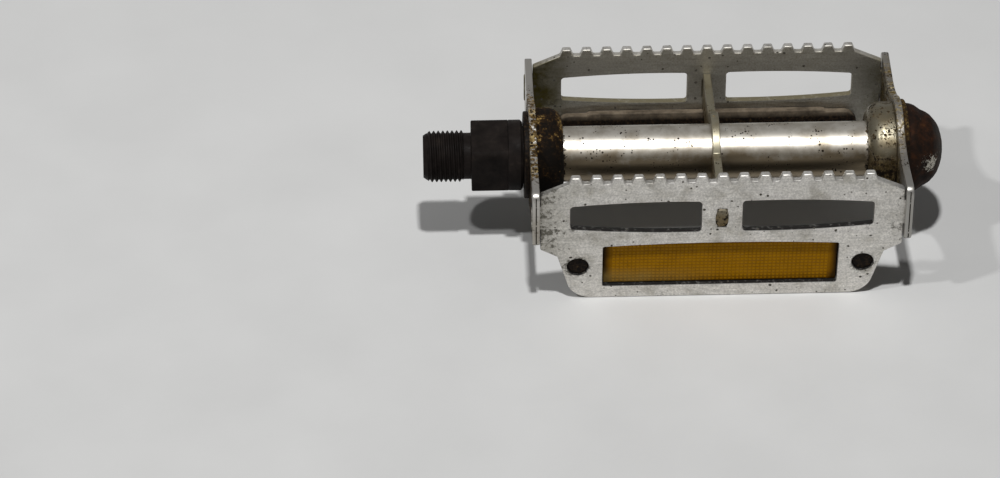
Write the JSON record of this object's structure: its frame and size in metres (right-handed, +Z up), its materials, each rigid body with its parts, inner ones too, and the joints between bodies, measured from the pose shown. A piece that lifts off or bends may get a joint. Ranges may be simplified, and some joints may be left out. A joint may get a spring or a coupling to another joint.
{
  "type": "bicycle pedal",
  "caption": "Quill bicycle pedal: toothed sheet cage with strap slots and amber side reflectors, turning on ball bearings about a spindle that screws into a crank.",
  "frame": {"origin": "under the middle of the pedal's length and depth, on the surface that it stands on", "axes": "+X along the axle from the crank thread to the dust cap, +Z up, with the toothed edges upward"},
  "size_m": [0.144, 0.0686, 0.0423],
  "materials": {
    "black_steel": "black oxide, oily",
    "bearing_steel": "hardened and ground",
    "plated_steel": "bright plating with rust spots",
    "cage_aluminium": "satin, scratched and pitted",
    "rusted_steel": "brown rust with worn bright marks",
    "black_plastic": "moulded, dusty",
    "amber_plastic": "clear amber with fine prisms"
  },
  "bodies": {
    "spindle": {"spindle": "black_steel", "outer_cone": "bearing_steel", "lock_washer": "bearing_steel", "lock_nut": "bearing_steel"},
    "cage": {"barrel": "plated_steel", "inboard_cup": "plated_steel", "outboard_cup": "plated_steel", "dust_cap": "rusted_steel", "inboard_dust_ring": "black_plastic", "inboard_end_plate": "plated_steel", "outboard_end_plate": "plated_steel", "front_cage_plate": "cage_aluminium", "rear_cage_plate": "cage_aluminium", "centre_brace": "plated_steel", "front_reflector_housing": "black_plastic", "rear_reflector_housing": "black_plastic", "front_reflector_lens": "amber_plastic", "rear_reflector_lens": "amber_plastic"},
    "inboard_ball_ring": {"inboard_balls": "bearing_steel"},
    "outboard_ball_ring": {"outboard_balls": "bearing_steel"}
  },
  "joints": [
    {"name": "pedal_spin", "type": "hinge", "parent": "spindle", "child": "cage", "pos_m": [0, 0, 0.02765], "axis": [1, 0, 0], "continuous": true},
    {"name": "inboard_balls_roll", "type": "hinge", "parent": "spindle", "child": "inboard_ball_ring", "pos_m": [-0.0383, 0, 0.02765], "axis": [1, 0, 0], "continuous": true},
    {"name": "outboard_balls_roll", "type": "hinge", "parent": "spindle", "child": "outboard_ball_ring", "pos_m": [0.0557, 0, 0.02765], "axis": [1, 0, 0], "continuous": true}
  ],
  "couplings": [
    {"joint": "inboard_balls_roll", "follows": "pedal_spin", "ratio": 0.588},
    {"joint": "outboard_balls_roll", "follows": "pedal_spin", "ratio": 0.588}
  ]
}
